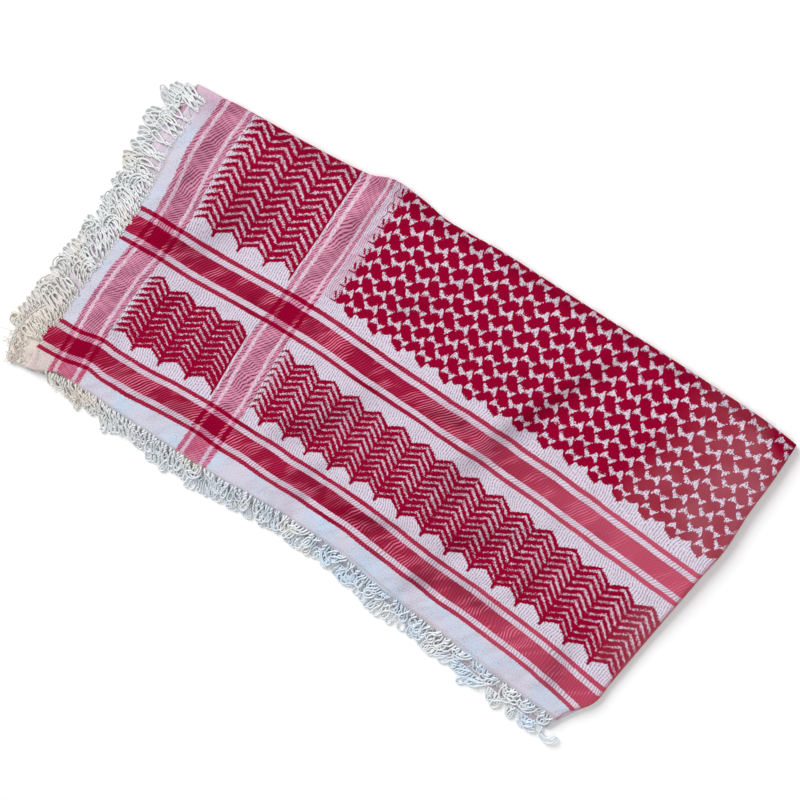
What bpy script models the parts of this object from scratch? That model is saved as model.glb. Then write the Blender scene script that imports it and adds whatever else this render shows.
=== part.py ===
# A keffiyeh, one square of cotton with a looped fringe, folded into a flat oblong packet.
# It lies on a level surface: length along X, depth along Y, up along Z, underside at Z = 0.
# The -X and -Y sides show the open edges with their fringe, the +X and +Y sides are folds.
import math
import random
from collections import namedtuple

import bmesh
import bpy
from mathutils import Vector

MM = 0.001

CLOTH_WALL = 1.5 * MM
SEAM_GAP = 0.3 * MM
LOW_STACK = 8.6 * MM  # height over four plies, along the open long side
HIGH_STACK = 12.0 * MM  # height over eight plies, along the long fold
STACK_RISE_START = 0.28  # share of the depth where the extra plies begin
STACK_RISE_SPAN = 0.30
OPEN_EDGE_SLUMP = 0.9 * MM
SLUMP_REACH = 26 * MM
FOLD_REACH = 5.6 * MM  # how far a fold rounds out past the flat top
CORNER_STRETCH = 1.25
UNDERSIDE_HEM_INSET = 3 * MM
PLY_FLOOR = CLOTH_WALL + SEAM_GAP  # how far the hidden plies lie inside the outer one
PLY_LIP = 0.4 * MM  # how far a ply's edge slopes out from its top to its underside

LENGTH_CELLS = 34
DEPTH_CELLS = 20
ROUND_STEPS = 5

STRIP_WIDTH = 3.0 * MM
STRIP_WALL = 1.2 * MM
STRAND_PITCH = 9.6 * MM
STRAND_WIDTH = 4.0 * MM
STRAND_WALL = 1.2 * MM
STRAND_STEPS = 4

# The middle of the packet's box in the plan that the two tables below are drawn in.
PLAN_CENTRE = Vector((0.05 * MM, 0.14 * MM, 0.0))

# Lengthwise sections, from the fringed end (0) to the folded end (1): where the hem of the
# long open side and the crest of the long fold lie, and how far the lower plies reach past the hem.
LengthSection = namedtuple("LengthSection", "along hem fold lower_reach")
LENGTH_SECTIONS = (
    LengthSection(0.000, -162.0 * MM, 161.0 * MM, 6.0 * MM),
    LengthSection(0.055, -152.5 * MM, 166.0 * MM, 6.0 * MM),
    LengthSection(0.167, -151.0 * MM, 172.0 * MM, 6.0 * MM),
    LengthSection(0.270, -150.0 * MM, 180.0 * MM, 6.0 * MM),
    LengthSection(0.305, -149.5 * MM, 188.5 * MM, 6.0 * MM),
    LengthSection(0.360, -145.5 * MM, 187.5 * MM, 6.5 * MM),
    LengthSection(0.400, -142.0 * MM, 184.5 * MM, 6.5 * MM),
    LengthSection(0.500, -137.5 * MM, 189.0 * MM, 7.0 * MM),
    LengthSection(0.570, -139.5 * MM, 190.0 * MM, 7.0 * MM),
    LengthSection(0.670, -149.5 * MM, 191.5 * MM, 6.5 * MM),
    LengthSection(0.760, -151.5 * MM, 193.5 * MM, 7.0 * MM),
    LengthSection(0.860, -156.5 * MM, 194.5 * MM, 9.0 * MM),
    LengthSection(0.950, -159.0 * MM, 195.0 * MM, 11.0 * MM),
    LengthSection(1.000, -160.0 * MM, 193.0 * MM, 11.0 * MM),
)

# Depthwise sections, from the long open side (0) to the long fold (1): where the hem of the
# short open side and the crest of the short fold lie, and how far the lower plies reach out.
DepthSection = namedtuple("DepthSection", "across hem fold lower_reach")
DEPTH_SECTIONS = (
    DepthSection(0.00, -288.0 * MM, 307.0 * MM, 12.0 * MM),
    DepthSection(0.04, -292.0 * MM, 311.0 * MM, 11.5 * MM),
    DepthSection(0.11, -293.0 * MM, 324.0 * MM, 11.5 * MM),
    DepthSection(0.25, -288.5 * MM, 325.0 * MM, 11.0 * MM),
    DepthSection(0.40, -283.0 * MM, 326.0 * MM, 11.0 * MM),
    DepthSection(0.58, -276.0 * MM, 327.5 * MM, 10.5 * MM),
    DepthSection(0.68, -275.0 * MM, 329.0 * MM, 10.5 * MM),
    DepthSection(0.80, -278.0 * MM, 325.0 * MM, 11.0 * MM),
    DepthSection(0.91, -273.5 * MM, 323.5 * MM, 10.0 * MM),
    DepthSection(1.00, -271.0 * MM, 320.5 * MM, 9.0 * MM),
)

# The largest soft folds of the top ply: middle, half length, half width, direction and rise.
SoftFold = namedtuple("SoftFold", "x y half_length half_width degrees rise")
SOFT_FOLDS = (
    SoftFold(112 * MM, 36 * MM, 105 * MM, 15 * MM, 72, -1.1 * MM),
    SoftFold(138 * MM, 34 * MM, 95 * MM, 18 * MM, 72, 1.2 * MM),
    SoftFold(146 * MM, -52 * MM, 42 * MM, 13 * MM, 42, -0.9 * MM),
    SoftFold(-29 * MM, -38 * MM, 52 * MM, 14 * MM, 60, -0.9 * MM),
    SoftFold(-2 * MM, -45 * MM, 60 * MM, 18 * MM, 58, 1.0 * MM),
    SoftFold(-12 * MM, -128 * MM, 34 * MM, 12 * MM, 86, -1.1 * MM),
    SoftFold(45 * MM, -118 * MM, 60 * MM, 24 * MM, 8, 1.3 * MM),
    SoftFold(126 * MM, -122 * MM, 36 * MM, 13 * MM, 80, -1.2 * MM),
    SoftFold(278 * MM, -120 * MM, 34 * MM, 12 * MM, 104, -1.0 * MM),
    SoftFold(-100 * MM, 165 * MM, 34 * MM, 13 * MM, 74, 1.2 * MM),
    SoftFold(-200 * MM, 60 * MM, 70 * MM, 20 * MM, 64, -0.8 * MM),
)

# The plies that show below the top one, as shares of the stack from its top down.
PlyStep = namedtuple("PlyStep", "reach_share level")
PLY_STEPS = (PlyStep(0.45, 0.66), PlyStep(1.0, 0.34))

# The rows of fringe: the hem that each hangs from, the stretch of it, and whether it is a lower ply's.
FringeRow = namedtuple("FringeRow", "name side start finish lower length tip_height seed")
FRINGE_ROWS = (
    FringeRow("fringe_end_upper", "end", 0.0, 1.0, False, 23.0 * MM, 4.9 * MM, 3),
    FringeRow("fringe_end_lower", "end", 0.0, 1.0, True, 23.0 * MM, 1.0 * MM, 5),
    FringeRow("fringe_side_upper_near", "side", 0.0, 0.5, False, 22.0 * MM, 4.0 * MM, 7),
    FringeRow("fringe_side_upper_far", "side", 0.5, 1.0, False, 22.0 * MM, 4.0 * MM, 8),
    FringeRow("fringe_side_lower_near", "side", 0.0, 0.5, True, 20.0 * MM, 1.0 * MM, 11),
    FringeRow("fringe_side_lower_far", "side", 0.5, 1.0, True, 20.0 * MM, 1.0 * MM, 12),
)

COTTON_RED = (0.33, 0.004, 0.030, 1.0)
COTTON_WHITE = (0.72, 0.69, 0.75, 1.0)
THREAD_WHITE = (0.74, 0.76, 0.74, 1.0)


def clear_scene():
    for item in list(bpy.data.objects):
        bpy.data.objects.remove(item, do_unlink=True)


def cloth_material(name, colour):
    material = bpy.data.materials.new(name)
    material.use_nodes = True
    shader = material.node_tree.nodes["Principled BSDF"]
    shader.inputs["Base Color"].default_value = colour
    shader.inputs["Roughness"].default_value = 0.9
    shader.inputs["Metallic"].default_value = 0.0
    return material


def smooth_step(value):
    value = min(1.0, max(0.0, value))
    return value * value * (3.0 - 2.0 * value)


def read_table(rows, column, position):
    """The column's value at a place along the table, on a smooth curve through its rows."""
    places = [row[0] for row in rows]
    values = [getattr(row, column) for row in rows]
    last = len(rows) - 1
    index = 0
    while index < last - 1 and position > places[index + 1]:
        index += 1
    span = places[index + 1] - places[index]
    slopes = []
    for here in (index, index + 1):
        before = max(0, here - 1)
        after = min(last, here + 1)
        slopes.append((values[after] - values[before]) / (places[after] - places[before]))
    share = (position - places[index]) / span
    square = share * share
    cube = square * share
    return (
        (2 * cube - 3 * square + 1) * values[index]
        + (cube - 2 * square + share) * span * slopes[0]
        + (3 * square - 2 * cube) * values[index + 1]
        + (cube - square) * span * slopes[1]
    )


def plan_point(along, across, fold_inset=0.0):
    """The plan of the packet at two shares of its sides, with the fold sides drawn in."""
    left = read_table(DEPTH_SECTIONS, "hem", across)
    right = read_table(DEPTH_SECTIONS, "fold", across) - fold_inset
    front = read_table(LENGTH_SECTIONS, "hem", along)
    back = read_table(LENGTH_SECTIONS, "fold", along) - fold_inset
    return Vector((left + (right - left) * along, front + (back - front) * across, 0.0))


def soft_relief(point):
    rise = 0.0
    for fold in SOFT_FOLDS:
        turn = math.radians(fold.degrees)
        offset = Vector((point.x - fold.x, point.y - fold.y))
        lengthwise = offset.x * math.cos(turn) + offset.y * math.sin(turn)
        sideways = offset.y * math.cos(turn) - offset.x * math.sin(turn)
        reach = (lengthwise / fold.half_length) ** 2 + (sideways / fold.half_width) ** 2
        rise += fold.rise * math.exp(-reach)
    return rise


def top_height(along, across):
    point = plan_point(along, across, FOLD_REACH)
    rise = smooth_step((across - STACK_RISE_START) / STACK_RISE_SPAN)
    height = LOW_STACK + (HIGH_STACK - LOW_STACK) * rise
    hem_x = read_table(DEPTH_SECTIONS, "hem", across)
    hem_y = read_table(LENGTH_SECTIONS, "hem", along)
    slump = math.exp(-(point.x - hem_x) / SLUMP_REACH) + math.exp(-(point.y - hem_y) / SLUMP_REACH)
    return height - OPEN_EDGE_SLUMP * min(1.0, slump) + soft_relief(point)


def grid_shares():
    """Shares along and across for the columns and rows of the packet's grid."""
    along = [index / LENGTH_CELLS for index in range(LENGTH_CELLS + 1)]
    across = [index / DEPTH_CELLS for index in range(DEPTH_CELLS + 1)]
    return along, across


def flat_top(mesh, drop):
    """A grid of points on the top face, lowered by drop."""
    along, across = grid_shares()
    grid = []
    for share in along:
        column = []
        for depth in across:
            point = plan_point(share, depth, FOLD_REACH)
            point.z = top_height(share, depth) - drop
            column.append(mesh.verts.new(point))
        grid.append(column)
    return grid


def grid_faces(mesh, grid):
    for near, far in zip(grid, grid[1:]):
        for index in range(len(near) - 1):
            mesh.faces.new((near[index], far[index], far[index + 1], near[index + 1]))


def edge_normal(side, share):
    """The outward direction in plan on one of the four sides."""
    step = 0.01
    low = max(0.0, share - step)
    high = min(1.0, share + step)
    ends = {
        "end": ((0.0, high), (0.0, low)),
        "side": ((low, 0.0), (high, 0.0)),
        "end_fold": ((1.0, low), (1.0, high)),
        "side_fold": ((high, 1.0), (low, 1.0)),
    }
    start, finish = ends[side]
    run = plan_point(*finish, FOLD_REACH) - plan_point(*start, FOLD_REACH)
    return Vector((run.y, -run.x, 0.0)).normalized()


def fold_path():
    """Grid indices and outward directions along the two folds, from the hem round to the end."""
    along, across = grid_shares()
    path = [(LENGTH_CELLS, row, edge_normal("end_fold", across[row])) for row in range(DEPTH_CELLS)]
    corner = edge_normal("end_fold", 1.0) + edge_normal("side_fold", 1.0)
    path.append((LENGTH_CELLS, DEPTH_CELLS, corner.normalized() * CORNER_STRETCH))
    for column in reversed(range(LENGTH_CELLS)):
        path.append((column, DEPTH_CELLS, edge_normal("side_fold", along[column])))
    return path


def round_profile(mesh, start, normal, drop):
    """Points down the rounded edge of a fold, below the grid point that it starts from."""
    crest = start.co.z + drop
    points = [start]
    for step in range(1, ROUND_STEPS + 1):
        turn = math.pi * step / ROUND_STEPS
        reach = (FOLD_REACH - drop) * math.sin(turn)
        height = crest / 2 + (crest / 2 - drop) * math.cos(turn)
        place = Vector((start.co.x, start.co.y, height)) + normal * reach
        points.append(mesh.verts.new(place))
    return points


def step_profile(mesh, start, normal, reach):
    """Points down the open edge of the lower plies, which step out below the top one."""
    top = start.co.z
    low = PLY_FLOOR
    offsets = [PLY_LIP]
    heights = []
    for step in PLY_STEPS:
        level = low + (top - low) * step.level
        heights += [level, level - 0.05 * MM]
        offsets += [reach * step.reach_share, reach * step.reach_share + PLY_LIP]
    heights.append(low)
    points = [start]
    for offset, height in zip(offsets, heights):
        place = Vector((start.co.x, start.co.y, height)) + normal * offset
        points.append(mesh.verts.new(place))
    return points


def bridge_profiles(mesh, profiles):
    for first, second in zip(profiles, profiles[1:]):
        for index in range(len(first) - 1):
            corners = [first[index], first[index + 1], second[index + 1], second[index]]
            distinct = []
            for corner in corners:
                if corner not in distinct:
                    distinct.append(corner)
            mesh.faces.new(distinct)


def finish_object(name, mesh, material):
    bmesh.ops.recalc_face_normals(mesh, faces=mesh.faces)
    data = bpy.data.meshes.new(name)
    mesh.to_mesh(data)
    mesh.free()
    data.materials.append(material)
    data.shade_smooth()
    data.set_sharp_from_angle(angle=math.radians(40))
    item = bpy.data.objects.new(name, data)
    item.location = -PLAN_CENTRE
    bpy.context.collection.objects.link(item)
    return item


def underside_edge(mesh, height):
    """Points along the two open edges of the underside ply, from the long fold to the short one."""
    along, across = grid_shares()
    points = []
    for depth in reversed(across[1:-1]):
        place = plan_point(0.0, depth) - edge_normal("end", depth) * UNDERSIDE_HEM_INSET
        points.append(mesh.verts.new((place.x, place.y, height)))
    for share in along[1:-1]:
        place = plan_point(share, 0.0) - edge_normal("side", share) * UNDERSIDE_HEM_INSET
        points.append(mesh.verts.new((place.x, place.y, height)))
    return points


def make_outer_ply(material):
    """The ply that shows: over the top, round both folds and back along the underside."""
    mesh = bmesh.new()
    skins = []
    for drop in (0.0, CLOTH_WALL):
        grid = flat_top(mesh, drop)
        grid_faces(mesh, grid)
        profiles = []
        for column, row, normal in fold_path():
            profiles.append(round_profile(mesh, grid[column][row], normal, drop))
        bridge_profiles(mesh, profiles)
        open_edge = underside_edge(mesh, drop)
        underside = [profile[-1] for profile in profiles] + open_edge
        mesh.faces.new(underside)
        hem = [grid[0][row] for row in reversed(range(DEPTH_CELLS + 1))]
        hem += [grid[column][0] for column in range(1, LENGTH_CELLS + 1)]
        rim = hem + profiles[0][1:] + open_edge[::-1] + profiles[-1][:0:-1]
        skins.append(rim)
    outer, inner = skins
    for index in range(len(outer)):
        following = (index + 1) % len(outer)
        mesh.faces.new((outer[index], outer[following], inner[following], inner[index]))
    return finish_object("outer_ply", mesh, material)


def make_inner_plies(material):
    """The hidden plies as one rounded solid, with the edges of two of them stepped out."""
    drop = PLY_FLOOR
    mesh = bmesh.new()
    along, across = grid_shares()
    grid = flat_top(mesh, drop)
    grid_faces(mesh, grid)
    profiles = []
    for column, row, normal in fold_path():
        profiles.append(round_profile(mesh, grid[column][row], normal, drop))
    for row in reversed(range(DEPTH_CELLS + 1)):
        reach = read_table(DEPTH_SECTIONS, "lower_reach", across[row])
        profiles.append(step_profile(mesh, grid[0][row], edge_normal("end", across[row]), reach))
    corner = edge_normal("end", 0.0) + edge_normal("side", 0.0)
    corner_reach = (LENGTH_SECTIONS[0].lower_reach + DEPTH_SECTIONS[0].lower_reach) / 2
    profiles.append(step_profile(mesh, grid[0][0], corner, corner_reach))
    for column in range(LENGTH_CELLS + 1):
        reach = read_table(LENGTH_SECTIONS, "lower_reach", along[column])
        profiles.append(step_profile(mesh, grid[column][0], edge_normal("side", along[column]), reach))
    profiles.append(profiles[0])
    bridge_profiles(mesh, profiles)
    mesh.faces.new([profile[-1] for profile in profiles[:-1]])
    return finish_object("inner_plies", mesh, material)


def hem_node(row, index):
    """At one grid point of the hem that a fringe row hangs from: its strip's inner face, and the way out."""
    ending = row.side == "end"
    share = index / (DEPTH_CELLS if ending else LENGTH_CELLS)
    ends = (0.0, share) if ending else (share, 0.0)
    out = edge_normal(row.side, share)
    place = plan_point(*ends, FOLD_REACH)
    top = top_height(*ends)
    if not row.lower:
        place.z = top - CLOTH_WALL / 2
        return place + out * SEAM_GAP, out
    sections = DEPTH_SECTIONS if ending else LENGTH_SECTIONS
    reach = read_table(sections, "lower_reach", share) + PLY_LIP + SEAM_GAP
    place.z = PLY_FLOOR + (top - 2 * PLY_FLOOR) * PLY_STEPS[-1].level / 2
    return place + out * reach, out


def hem_place(row, share):
    """The same at any share of the hem, on the straight run between two grid points."""
    cells = DEPTH_CELLS if row.side == "end" else LENGTH_CELLS
    index = min(int(share * cells), cells - 1)
    near, near_out = hem_node(row, index)
    far, far_out = hem_node(row, index + 1)
    fraction = share * cells - index
    return near.lerp(far, fraction), near_out.lerp(far_out, fraction).normalized()


def strip_ring(mesh, row, share, shift):
    """The four corners of the strip's cross-section, shifted along the hem."""
    place, out = hem_place(row, share)
    run = Vector((-out.y, out.x, 0.0))
    if row.side == "end":
        run = -run
    half = STRIP_WALL / 2
    ring = []
    for reach, rise in ((0.0, half), (STRIP_WIDTH, half), (STRIP_WIDTH, -half), (0.0, -half)):
        corner = place + out * reach + run * shift
        corner.z += rise
        ring.append(mesh.verts.new(corner))
    return ring


def grow_strand(mesh, face, row, share, wander):
    """Extrudes the root face outward along a bowed path that settles towards its tip height."""
    place, out = hem_place(row, share)
    run = Vector((-out.y, out.x, 0.0))
    length = row.length * wander.uniform(0.84, 1.0)
    bow = STRAND_PITCH * wander.uniform(0.10, 0.24) * wander.choice((-1, 1))
    lean = STRAND_PITCH * wander.uniform(-0.12, 0.12)
    tip_half_width = STRAND_WIDTH * wander.uniform(0.26, 0.36)
    for step in range(1, STRAND_STEPS + 1):
        grown = bmesh.ops.extrude_discrete_faces(mesh, faces=[face])
        face = grown["faces"][0]
        progress = step / STRAND_STEPS
        centre = place + out * (STRIP_WIDTH + length * progress)
        centre += run * (bow * math.sin(math.pi * progress) + lean * progress)
        centre.z = place.z + (row.tip_height - place.z) * smooth_step(progress * 0.9 + 0.1)
        half_width = STRAND_WIDTH / 2 + (tip_half_width - STRAND_WIDTH / 2) * progress
        half_wall = STRAND_WALL / 2
        for corner in face.verts:
            offset = corner.co - face.calc_center_median()
            side = 1 if offset.dot(run) > 0 else -1
            rise = 1 if offset.z > 0 else -1
            corner.tag = side > 0
            corner[mesh.verts.layers.int["rise"]] = rise
        for corner in face.verts:
            side = 1 if corner.tag else -1
            rise = corner[mesh.verts.layers.int["rise"]]
            corner.co = centre + run * half_width * side + Vector((0, 0, half_wall * rise))


def make_fringe(row, material):
    """A narrow strip beside the hem with the strands that grow out of its outer face."""
    mesh = bmesh.new()
    mesh.verts.layers.int.new("rise")
    stretch = row.finish - row.start
    start, _ = hem_place(row, row.start)
    finish, _ = hem_place(row, row.finish)
    count = int((finish - start).length / STRAND_PITCH)
    shares = [row.start + stretch * (index + 0.5) / count for index in range(count)]
    wander = random.Random(row.seed)
    rings = [strip_ring(mesh, row, row.start, SEAM_GAP / 2)]
    for share in shares:
        rings.append(strip_ring(mesh, row, share, -STRAND_WIDTH / 2))
        rings.append(strip_ring(mesh, row, share, STRAND_WIDTH / 2))
    rings.append(strip_ring(mesh, row, row.finish, -SEAM_GAP / 2))
    mesh.faces.new(rings[0])
    mesh.faces.new(rings[-1])
    roots = []
    for index, (near, far) in enumerate(zip(rings, rings[1:])):
        for corner in range(4):
            following = (corner + 1) % 4
            face = mesh.faces.new((near[corner], near[following], far[following], far[corner]))
            if corner == 1 and index % 2 == 1:
                roots.append(face)
    bmesh.ops.recalc_face_normals(mesh, faces=mesh.faces)
    for face, share in zip(roots, shares):
        grow_strand(mesh, face, row, share, wander)
    return finish_object(row.name, mesh, material)


def main():
    clear_scene()
    make_outer_ply(cloth_material("cotton_red_and_white", COTTON_RED))
    make_inner_plies(cloth_material("cotton_white", COTTON_WHITE))
    for row in FRINGE_ROWS:
        make_fringe(row, cloth_material(row.name + "_thread", THREAD_WHITE))


main()
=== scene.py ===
import math
import random

import bpy
import numpy as np
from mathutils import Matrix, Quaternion, Vector


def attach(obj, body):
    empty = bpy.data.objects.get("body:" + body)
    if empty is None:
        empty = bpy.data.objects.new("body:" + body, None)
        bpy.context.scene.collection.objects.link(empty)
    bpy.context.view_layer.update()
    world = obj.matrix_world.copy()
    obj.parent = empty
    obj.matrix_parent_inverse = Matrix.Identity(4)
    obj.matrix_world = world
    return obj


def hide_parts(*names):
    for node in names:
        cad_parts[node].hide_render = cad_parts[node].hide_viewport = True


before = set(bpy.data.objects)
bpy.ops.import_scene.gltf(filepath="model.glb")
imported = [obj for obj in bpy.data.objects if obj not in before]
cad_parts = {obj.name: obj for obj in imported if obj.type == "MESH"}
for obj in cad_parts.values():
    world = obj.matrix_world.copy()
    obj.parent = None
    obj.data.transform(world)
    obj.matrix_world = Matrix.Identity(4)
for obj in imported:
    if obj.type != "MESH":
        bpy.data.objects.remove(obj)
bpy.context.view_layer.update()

mm = 0.001

# The folded packet in plan, in millimetres. Its open sides are the short "end" and the long "side".
# Their tables: share of the side, its hem, crest of the fold opposite, reach of the lower plies.
packet = dict(
    centre=(0.05, 0.14, 0),  # middle of the tables' own plan
    length=dict(end=345, side=600),
    tintSpan=((-288, 610), (-150, 340)),  # start and span of tints, along and across
    stack=(8.6, 12),  # height over four plies, and over eight
    rise=(0.28, 0.3),  # where the extra plies start, and over how far they rise
    slump=(0.9, 26),  # how far the open edges sink, and how far in
    foldReach=5.6,  # of a fold, past the flat top
    cornerStretch=1.25,
    lowerReach=1.5,  # of the lower hem, against the tables
    cornerReach=dict(end=7, side=-9.5),  # more of it by the open corner
    cornerWander=3.6,  # more unevenness there
    cornerSpan=42,
    wall=0.9,  # one ply of cotton
    side=(
        (0, -162, 161, 6), (0.055, -152.5, 166, 6), (0.167, -151, 172, 6), (0.27, -150, 180, 6),
        (0.305, -149.5, 188.5, 6), (0.36, -147, 187.5, 6.5), (0.4, -144.5, 184.5, 6.5), (0.5, -141, 189, 7),
        (0.57, -141.5, 190, 7), (0.67, -149.5, 191.5, 6.5), (0.76, -151.5, 193.5, 7),
        (0.86, -156.5, 194.5, 9), (0.95, -159, 195, 11), (1, -160, 193, 11),
    ),
    end=(
        (0, -292, 307, 12), (0.04, -298, 311, 11.5), (0.11, -298, 324, 11.5), (0.18, -291.5, 324.5, 11.2),
        (0.25, -288.5, 325, 11), (0.4, -283, 326, 11), (0.58, -276, 327.5, 10.5), (0.68, -275, 329, 10.5),
        (0.8, -278, 325, 11), (0.91, -273.5, 323.5, 10), (1, -271, 320.5, 9),
    ),
)

# Soft folds of the top ply: x, y, half length, half width, direction in degrees, rise.
creases = dict(
    main=(
        (114, 44, 92, 15, 72, -1.1), (138, 34, 95, 18, 72, 1.2), (146, -52, 42, 13, 42, -0.9),
        (-29, -38, 52, 14, 60, -0.9), (-2, -45, 60, 18, 58, 1), (-12, -128, 34, 12, 86, -1.1),
        (45, -118, 60, 24, 8, 1.3), (126, -122, 36, 13, 80, -1.2), (278, -120, 34, 12, 104, -1),
        (-100, 165, 34, 13, 74, 1.2), (-200, 60, 70, 20, 64, -0.8),
    ),
    small=(
        (133, 112, 76, 7, 69, -0.8), (108, -31, 38, 7, 72, -0.6), (57, 33, 26, 6, 10, -0.7),
        (66, -92, 26, 7, 20, -0.8), (-22, -98, 40, 7, 53, -0.6), (148, -106, 37, 7, 40, -0.5),
        (118, -137, 22, 5, 88, -0.9), (208, -52, 30, 8, 82, -0.6), (-204, -23, 30, 9, 55, -0.5),
        (-15, 101, 26, 9, 40, -0.5), (176, -107, 20, 6, 14, -0.5), (-30, -142, 16, 6, 92, -0.6),
        (256, -142, 18, 6, 84, -0.6), (224, 128, 34, 8, 66, -0.4), (-100, 110, 52, 6, 82, -0.6),
        (-250, 80, 46, 7, 84, -0.5), (-238, -80, 26, 7, 118, -0.5), (90, 100, 34, 6, 66, -0.3),
        (200, 20, 50, 9, 76, -0.3), (20, 150, 34, 7, 30, -0.3), (-60, -70, 36, 8, 64, -0.3),
        (236, -70, 40, 8, 92, 0.4), (128, -62, 40, 7, 70, 0.7), (2, -84, 36, 7, 55, 0.6),
        (160, 96, 60, 8, 69, 0.6), (-160, -110, 40, 8, 20, 0.4), (-96, 20, 50, 8, 88, 0.4),
    ),
    # patches of painted shade with no fold of their own, laid out as the folds are
    shadePatches=(
        (-190, -114, 85, 10, 2, 0.7), (50, -99, 34, 8, 0, 1.1), (177, -103, 34, 8, -3, 0.9),
        (66, 36, 22, 8, 5, 1.1), (-200, 26, 80, 9, 4, 0.5), (-3, -99, 14, 7, 0, 0.6),
        (-250, 105, 60, 18, 86, 0.5),
    ),
    shadeWidth=0.9,  # painted shade along the troughs, against the fold's width
    shadeDepth=1.6,  # depth of a trough that takes the full painted shade
    foldShade=(0.6, 5),  # painted shade along the long fold: how strong, how far in
    ripple=0.16,  # unevenness of the whole face
    ripples=14,
    rippleLength=(22, 70),
    seed=21,
)


def curveThrough(rows, at, column=1):  # smooth curve through one column of a table
    places, values = np.array(rows, float).T[[0, column]]
    run, rise = np.diff(places), np.diff(values)
    inside = (values[2:] - values[:-2]) / (places[2:] - places[:-2])
    slopes = np.r_[rise[0] / run[0], inside, rise[-1] / run[-1]]
    at = np.asarray(at, float)
    index = np.clip(np.searchsorted(places, at) - 1, 0, len(run) - 1)
    span = run[index]
    share = (at - places[index]) / span
    square, cube = share**2, share**3
    return (
        (2 * cube - 3 * square + 1) * values[index]
        + (cube - 2 * square + share) * span * slopes[index]
        + (3 * square - 2 * cube) * values[index + 1]
        + (cube - square) * span * slopes[index + 1]
    )


def hemLine(side, share):
    return curveThrough(packet[side], share)


def foldLine(side, share):  # where the fold opposite that side starts
    return curveThrough(packet[side], share, 2) - packet["foldReach"]


def smoothStep(value, start=0, span=1):
    value = np.clip((value - start) / span, 0, 1)
    return value * value * (3 - 2 * value)


def bell(value, middle=0, width=1):
    return np.exp(-(((value - middle) / width) ** 2))


def planPoint(along, across):
    left, front = hemLine("end", across), hemLine("side", along)
    x = left + (foldLine("end", across) - left) * along
    return x, front + (foldLine("side", along) - front) * across


def insideHems(x, y, along, across):  # distances from the two open hems
    return x - hemLine("end", across), y - hemLine("side", along)


def foldRelief(x, y, folds):
    rise = np.zeros(np.broadcast(x, y).shape)
    for foldX, foldY, halfLength, halfWidth, degrees, height in folds:
        turn = math.radians(degrees)
        lengthwise = (x - foldX) * math.cos(turn) + (y - foldY) * math.sin(turn)
        sideways = (y - foldY) * math.cos(turn) - (x - foldX) * math.sin(turn)
        rise = rise + height * np.exp(-((lengthwise / halfLength) ** 2) - (sideways / halfWidth) ** 2)
    return rise


def rippleRelief(x, y):
    draw = random.Random(creases["seed"])
    rise = np.zeros(np.broadcast(x, y).shape)
    for _ in range(creases["ripples"]):
        length = draw.uniform(*creases["rippleLength"])
        turn = draw.uniform(0, math.pi)
        phase = draw.uniform(0, math.tau)
        rise = rise + np.sin((x * math.cos(turn) + y * math.sin(turn)) * math.tau / length + phase)
    return rise * creases["ripple"] / math.sqrt(creases["ripples"] / 2)


def clothShades(points):  # painted shade of each point, in troughs, patches and along the long fold, and how near the painted shadow line by the hems
    x, y = points[:, 0], points[:, 1]
    along, across = (
        np.clip((place - start) / span, 0, 1) for place, (start, span) in zip((x, y), packet["tintSpan"])
    )
    troughs = [
        (*fold[:3], fold[3] * creases["shadeWidth"], fold[4], -fold[5])
        for fold in creases["main"] + creases["small"]
        if fold[5] < 0
    ]
    troughShade = (foldRelief(x, y, troughs) + foldRelief(x, y, creases["shadePatches"])) / creases["shadeDepth"]
    strength, span = creases["foldShade"]
    onFold = strength * bell(np.clip(foldLine("side", along) - y, 0, None), 0, span)
    # painted shade in the troughs and patches, and along the long fold
    wear = np.maximum(np.clip(troughShade, 0, 1), onFold)
    return wear, bell(np.minimum(*insideHems(x, y, along, across)), *sheets["hemShadowLine"])


def topHeight(along, across):
    x, y = planPoint(along, across)
    low, high = packet["stack"]
    sink, reach = packet["slump"]
    edges = sum(np.exp(-inward / reach) for inward in insideHems(x, y, along, across))
    height = low + (high - low) * smoothStep(across, *packet["rise"]) - sink * np.minimum(1, edges)
    height = height + foldRelief(x, y, creases["main"]) + foldRelief(x, y, creases["small"])
    return height + rippleRelief(x, y)


def edgeNormal(side, share):  # the way out, in plan
    low, high = np.maximum(0, share - 0.01), np.minimum(1, share + 0.01)
    zero, one = np.zeros_like(low), np.ones_like(low)
    start, finish = dict(
        end=((zero, high), (zero, low)),
        side=((low, zero), (high, zero)),
        endFold=((one, low), (one, high)),
        sideFold=((high, one), (low, one)),
    )[side]
    runX, runY = np.subtract(planPoint(*finish), planPoint(*start))
    length = np.hypot(runX, runY)
    return runY / length, -runX / length


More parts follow.
